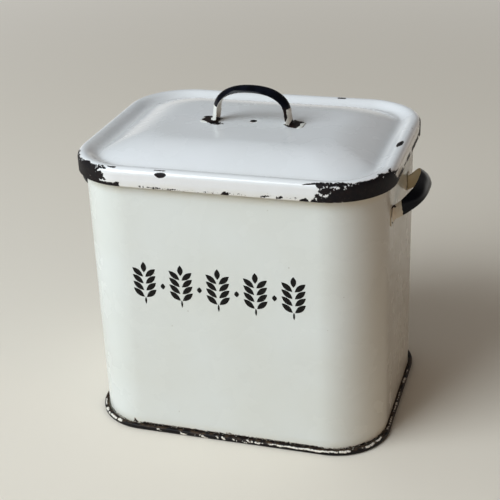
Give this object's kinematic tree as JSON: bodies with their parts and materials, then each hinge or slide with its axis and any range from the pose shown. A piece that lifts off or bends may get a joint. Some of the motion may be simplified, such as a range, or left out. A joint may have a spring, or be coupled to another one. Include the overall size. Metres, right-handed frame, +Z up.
{
  "type": "bread bin",
  "caption": "Enamelled steel bread bin: rounded rectangular body with side handles and a loose lift-off lid with a strap handle and a vent hole.",
  "frame": {"origin": "on the floor, under the middle of the bounding box", "axes": "+X to the right across the front, +Y to the back, +Z up; the lid lifts along +Z"},
  "size_m": [0.3984, 0.277, 0.375],
  "materials": {
    "cream_enamel": "glossy fired enamel, worn at folded edges",
    "white_enamel": "glossy fired enamel, chipped at the rim",
    "black_enamel": "glossy fired enamel",
    "drawn_wire": "plain drawn steel wire"
  },
  "bodies": {
    "bin": {"body_wall": "cream_enamel", "base_pan": "cream_enamel", "rim_wire": "drawn_wire", "handle_left": "black_enamel", "handle_right": "black_enamel"},
    "lid": {"lid_shell": "white_enamel", "lid_handle": "black_enamel"}
  },
  "joints": [
    {"name": "lid_lift", "type": "slide", "parent": "bin", "child": "lid", "axis": [0, 0, 1], "range_m": [0, 0.3]}
  ]
}
